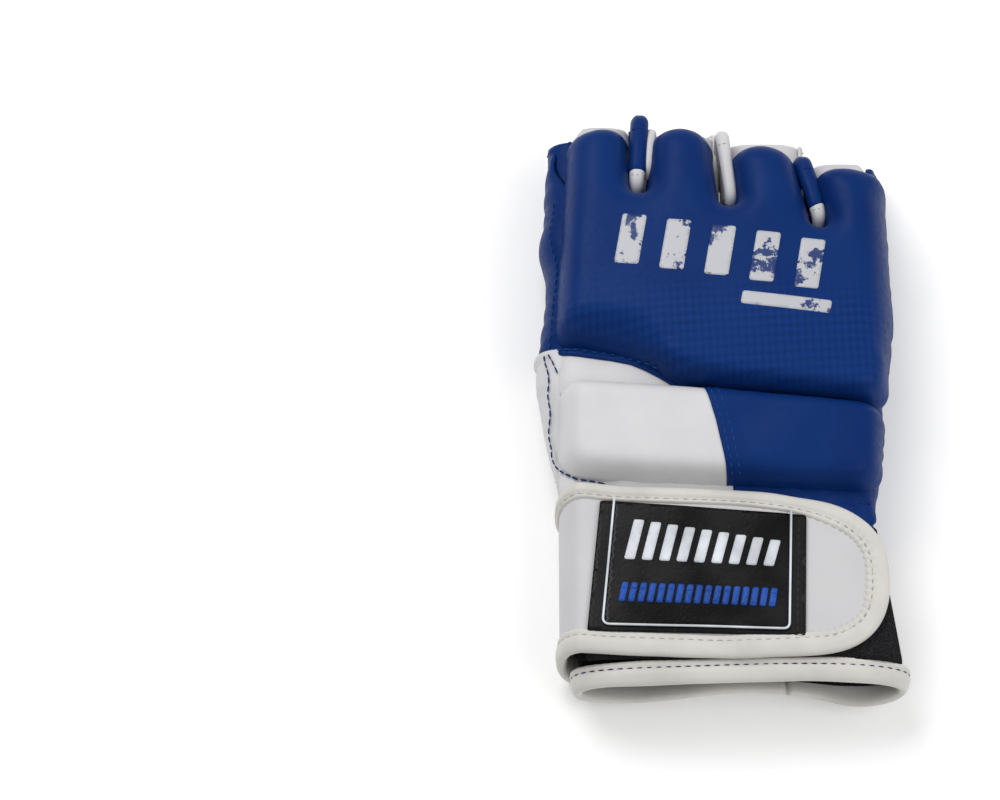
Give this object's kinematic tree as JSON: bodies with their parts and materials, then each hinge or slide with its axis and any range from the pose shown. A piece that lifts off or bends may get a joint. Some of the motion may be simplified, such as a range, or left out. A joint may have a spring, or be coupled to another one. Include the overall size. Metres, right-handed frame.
{
  "type": "mma glove",
  "caption": "Right-hand open-palm grappling glove with padded knuckles, open finger stalls, bound thumb hole and a wrap-over wrist strap.",
  "frame": {"origin": "centre of the glove's footprint, on the surface that it lies on palm down", "axes": "+X towards the little-finger side, +Y from the cuff towards the finger ends, +Z from the palm to the padded back"},
  "size_m": [0.1315, 0.235, 0.0475],
  "materials": {
    "blue_leather": "smooth royal blue synthetic leather, satin",
    "white_leather": "smooth white synthetic leather, satin",
    "trim_leather": "off-white folded binding, soft satin, gathered round the curves",
    "foam": "closed-cell padding foam, hidden inside the covers",
    "lining": "black ribbed knitted lining",
    "loop": "black loop pile",
    "hook": "black nylon hook tape",
    "black_rubber": "moulded black rubber, slightly glossy",
    "grey_print": "pale grey raised line"
  },
  "bodies": {
    "hand": {"back_pad_foam": "foam", "back_pad_little_cover": "blue_leather", "back_pad_thumb_cover": "white_leather", "crescent_lower_binding": "trim_leather", "crescent_top_binding": "trim_leather", "cuff_little_wall": "blue_leather", "cuff_rim_binding": "trim_leather", "cuff_thumb_wall": "lining", "hand_back_panel": "lining", "hand_lining": "lining", "heel_opening_binding": "trim_leather", "knuckle_cover": "blue_leather", "knuckle_foam": "foam", "little_gusset": "blue_leather", "loop_panel": "loop", "palm_finger_band": "blue_leather", "palm_little_panel": "blue_leather", "palm_thumb_panel": "blue_leather", "palm_wrap": "white_leather", "palm_wrap_bottom_binding": "trim_leather", "palm_wrap_top_binding": "trim_leather", "thumb_gusset_lower": "white_leather", "thumb_gusset_upper": "blue_leather", "thumb_hole_binding": "trim_leather", "thumb_side_wrap": "white_leather", "wedge_panel": "white_leather"},
    "fingers": {"index_finger_cover": "blue_leather", "index_finger_foam": "foam", "index_middle_divider": "blue_leather", "index_stall": "blue_leather", "little_finger_cover": "blue_leather", "little_finger_foam": "foam", "little_stall": "blue_leather", "middle_finger_cover": "blue_leather", "middle_finger_foam": "foam", "middle_ring_divider": "white_leather", "middle_stall": "white_leather", "ring_finger_cover": "blue_leather", "ring_finger_foam": "foam", "ring_little_divider": "blue_leather", "ring_stall": "white_leather", "stall_welt": "trim_leather"},
    "strap": {"strap_panel": "white_leather", "strap_backing": "lining", "strap_binding": "trim_leather", "hook_panel": "hook", "rubber_badge": "black_rubber", "badge_frame_line": "grey_print"}
  },
  "joints": [
    {"name": "strap_peel", "type": "hinge", "parent": "hand", "child": "strap", "pos_m": [-0.056, -0.074, 0.0334], "axis": [0, -1, 0], "range_deg": [0, 130]},
    {"name": "finger_flex", "type": "hinge", "parent": "hand", "child": "fingers", "pos_m": [0, 0.074, 0.015], "axis": [-1, 0, 0], "range_deg": [0, 30], "stiffness_Nm_per_rad": 0.5}
  ]
}
